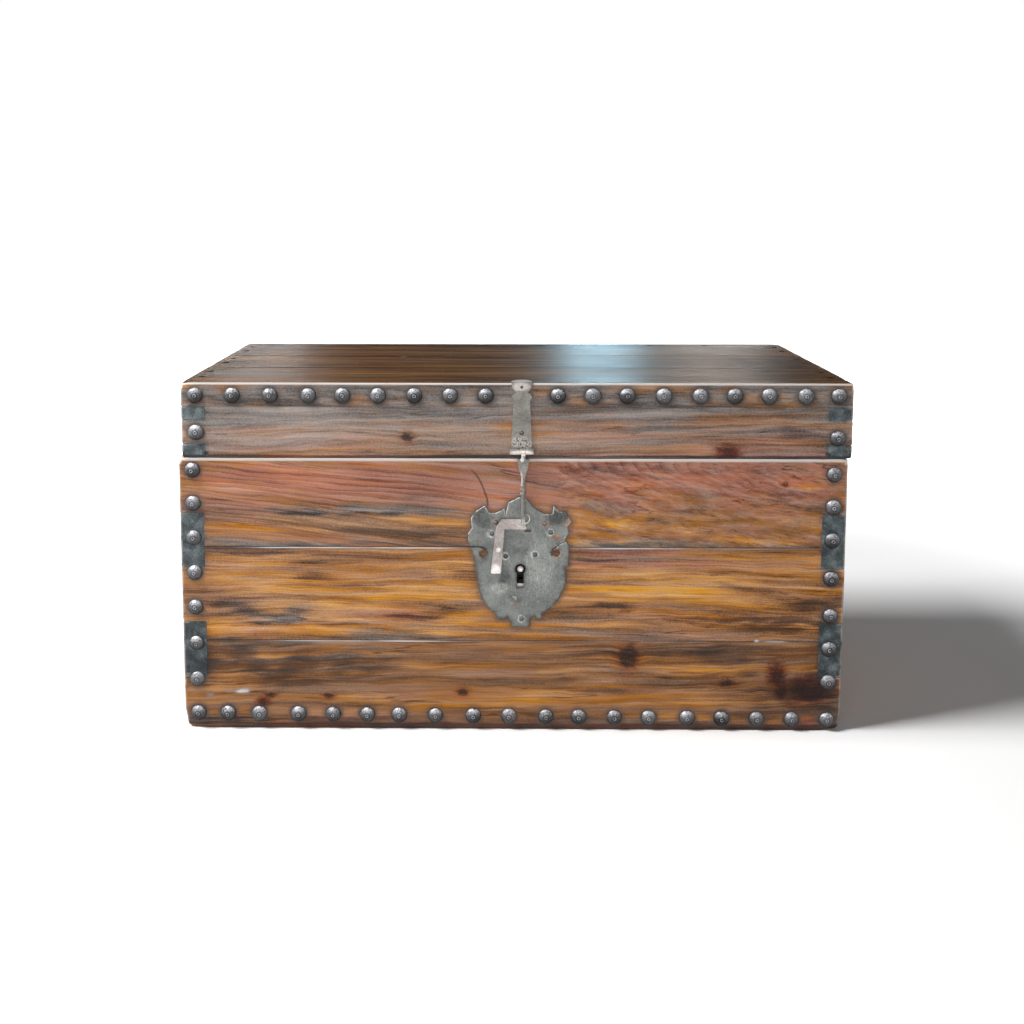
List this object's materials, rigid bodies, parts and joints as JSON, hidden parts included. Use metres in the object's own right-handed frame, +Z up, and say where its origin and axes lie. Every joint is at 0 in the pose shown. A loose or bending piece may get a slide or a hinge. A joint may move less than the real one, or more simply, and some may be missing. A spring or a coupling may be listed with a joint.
{
  "type": "plank chest",
  "caption": "Low rectangular plank chest with box-jointed corners, a hinged flat lid, iron nails, a hanging hasp and a cut lock plate, for storing clothes or linen.",
  "frame": {"origin": "on the floor, in the middle of the body's foot", "axes": "+X to the right along the front, +Y from front to back, +Z up"},
  "size_m": [0.9059, 0.5026, 0.4835],
  "materials": {
    "wall_wood": "aged walnut-brown planks, dry and worn",
    "lid_wood": "aged dark brown planks, rubbed",
    "bottom_wood": "raw aged pine",
    "nail_iron": "hammered dark iron",
    "forged_iron": "forged iron, rubbed on its edges",
    "plate_iron": "grey iron sheet, worn along its edges",
    "worn_steel": "iron worn bright"
  },
  "bodies": {
    "chest": {"back_board_lower": "wall_wood", "back_board_middle": "wall_wood", "back_board_upper": "wall_wood", "bottom_board_1": "bottom_wood", "bottom_board_2": "bottom_wood", "bottom_board_3": "bottom_wood", "dome_nails_foot": "nail_iron", "dome_nails_left": "nail_iron", "dome_nails_right": "nail_iron", "front_board_lower": "wall_wood", "front_board_middle": "wall_wood", "front_board_upper": "wall_wood", "hinge_left_body_leaf": "forged_iron", "hinge_left_pin": "forged_iron", "hinge_nails_body": "nail_iron", "hinge_right_body_leaf": "forged_iron", "hinge_right_pin": "forged_iron", "key_pin": "worn_steel", "keyway_ward": "worn_steel", "lock_case": "forged_iron", "lock_case_nails": "nail_iron", "lock_plate": "plate_iron", "lock_plate_nails": "nail_iron", "lock_spring": "forged_iron", "plain_nails_back": "nail_iron", "plain_nails_sides": "nail_iron", "side_left_lower": "wall_wood", "side_left_upper": "wall_wood", "side_right_lower": "wall_wood", "side_right_upper": "wall_wood"},
    "lid": {"lid_board_front": "lid_wood", "lid_board_middle": "lid_wood", "lid_board_back": "lid_wood", "lid_rail_front": "lid_wood", "lid_rail_back": "lid_wood", "lid_rail_left": "lid_wood", "lid_rail_right": "lid_wood", "lid_batten_left": "lid_wood", "lid_batten_right": "lid_wood", "batten_nails": "nail_iron", "dome_nails_lid_row": "nail_iron", "dome_nails_lid_corners": "nail_iron", "plain_nails_lid_back": "nail_iron", "plain_nails_lid_top": "nail_iron", "hasp_strap": "forged_iron", "hasp_strap_nail": "nail_iron", "hasp_pin": "forged_iron", "hinge_left_lid_leaf": "forged_iron", "hinge_right_lid_leaf": "forged_iron", "hinge_nails_lid": "nail_iron"},
    "hasp": {"hasp_arm": "forged_iron", "latch_bar_rivet": "worn_steel"},
    "bar": {"latch_bar": "worn_steel", "latch_bar_stud": "worn_steel"},
    "bolt": {"lock_bolt": "forged_iron"}
  },
  "joints": [
    {"name": "lid_hinge", "type": "hinge", "parent": "chest", "child": "lid", "pos_m": [0, 0.2453, 0.3792], "axis": [-1, 0, 0], "range_deg": [0, 105]},
    {"name": "hasp_swing", "type": "hinge", "parent": "lid", "child": "hasp", "pos_m": [0.0146, -0.24455, 0.3895], "axis": [-1, 0, 0], "range_deg": [0, 140]},
    {"name": "bar_swivel", "type": "hinge", "parent": "hasp", "child": "bar", "pos_m": [0.0146, -0.2456, 0.29164], "axis": [0, 1, 0], "range_deg": [-90, 45]},
    {"name": "bolt_slide", "type": "slide", "parent": "chest", "child": "bolt", "axis": [1, 0, 0], "range_m": [0, 0.0158]}
  ]
}
